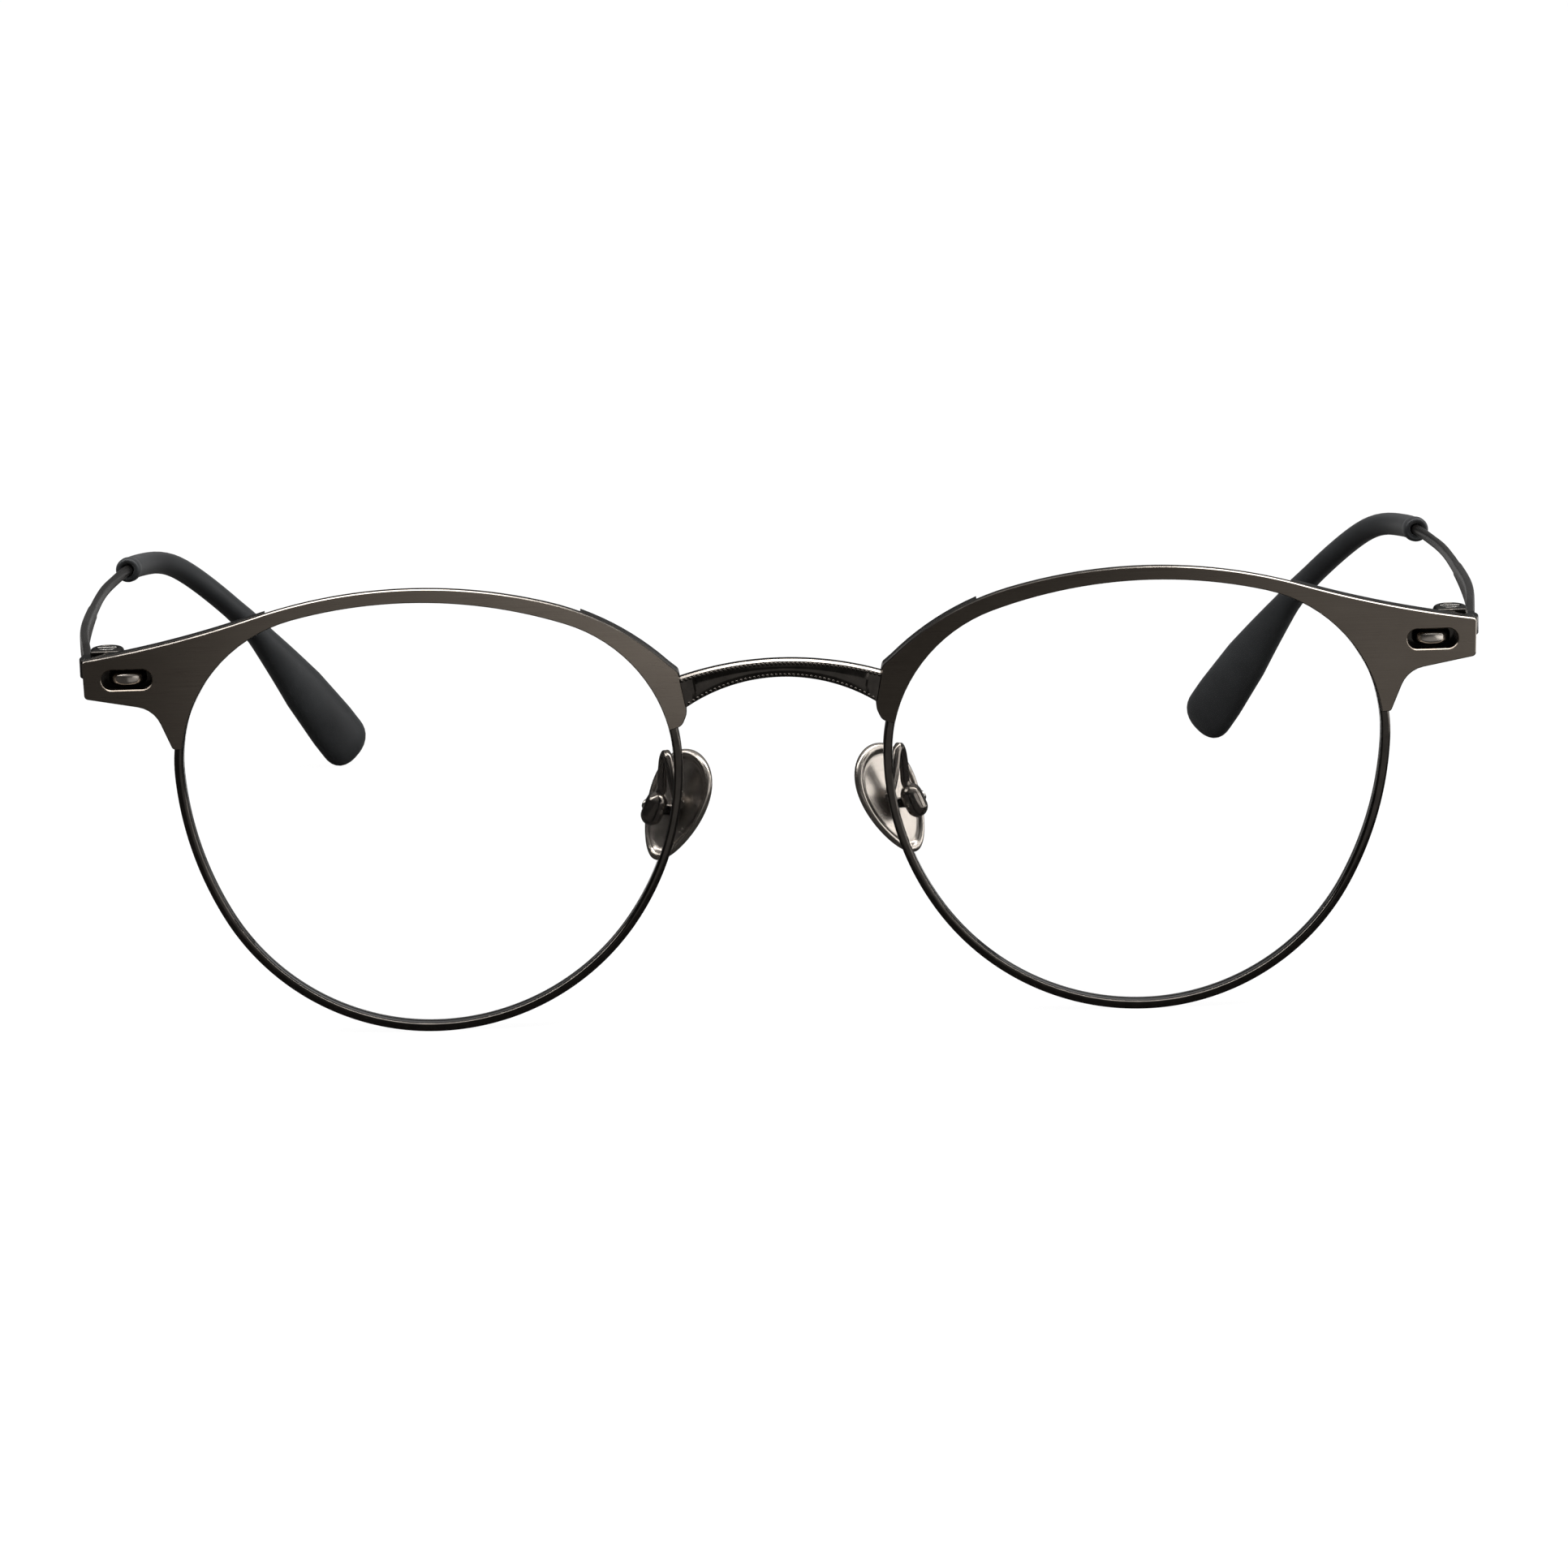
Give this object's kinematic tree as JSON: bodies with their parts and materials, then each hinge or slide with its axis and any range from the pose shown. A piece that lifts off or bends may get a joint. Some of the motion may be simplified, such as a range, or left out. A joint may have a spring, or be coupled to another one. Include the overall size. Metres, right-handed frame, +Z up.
{
  "type": "round eyeglasses",
  "caption": "Full-rim round metal eyeglasses with slotted brow plates, a beaded bridge, rocking nose pads and temples that fold.",
  "frame": {"origin": "on the surface that the eyeglasses stand on, midway between left and right, front and back of the open eyeglasses", "axes": "+X to the viewer's right as seen from the front, +Y from the front back along the temples, +Z up. Left in a node's name is the viewer's left, at negative X."},
  "size_m": [0.1522, 0.1298, 0.0468],
  "materials": {
    "brushed_plate": "fine horizontal brushing, gunmetal",
    "dark_rim": "polished near-black gunmetal plating",
    "polished_gunmetal": "mirror polished dark gunmetal plating",
    "satin_temple": "satin gunmetal plating",
    "lens": "clear, polished",
    "tip_rubber": "satin, near-black",
    "screw_steel": "turned and polished"
  },
  "bodies": {
    "front": {"left_rim": "dark_rim", "right_rim": "dark_rim", "left_lens": "lens", "right_lens": "lens", "left_brow_plate": "brushed_plate", "right_brow_plate": "brushed_plate", "left_end_piece": "dark_rim", "right_end_piece": "dark_rim", "left_rim_block": "dark_rim", "right_rim_block": "dark_rim", "rim_screws": "screw_steel", "bridge": "polished_gunmetal", "left_front_hinge": "polished_gunmetal", "right_front_hinge": "polished_gunmetal", "hinge_screws": "screw_steel", "left_pad_arm": "polished_gunmetal", "right_pad_arm": "polished_gunmetal", "left_pad_box": "polished_gunmetal", "right_pad_box": "polished_gunmetal", "pad_rivets": "screw_steel"},
    "left_temple": {"left_temple_hinge": "satin_temple", "left_temple_bar": "satin_temple", "left_temple_tip": "tip_rubber"},
    "right_temple": {"right_temple_hinge": "satin_temple", "right_temple_bar": "satin_temple", "right_temple_tip": "tip_rubber"},
    "left_nose_pad": {"left_nose_pad": "polished_gunmetal"},
    "right_nose_pad": {"right_nose_pad": "polished_gunmetal"}
  },
  "joints": [
    {"name": "left_temple_fold", "type": "hinge", "parent": "front", "child": "left_temple", "pos_m": [-0.0688, -0.06075, 0.03894], "axis": [0, 0, -1], "range_deg": [0, 70]},
    {"name": "right_temple_fold", "type": "hinge", "parent": "front", "child": "right_temple", "pos_m": [0.0688, -0.06075, 0.03894], "axis": [0, 0, 1], "range_deg": [0, 80]},
    {"name": "left_pad_rock", "type": "hinge", "parent": "front", "child": "left_nose_pad", "pos_m": [-0.01347, -0.05829, 0.02167], "axis": [0.6841, -0.6691, -0.2904], "range_deg": [-8, 8]},
    {"name": "right_pad_rock", "type": "hinge", "parent": "front", "child": "right_nose_pad", "pos_m": [0.01347, -0.05829, 0.02167], "axis": [0.6841, 0.6691, 0.2904], "range_deg": [-8, 8]}
  ]
}
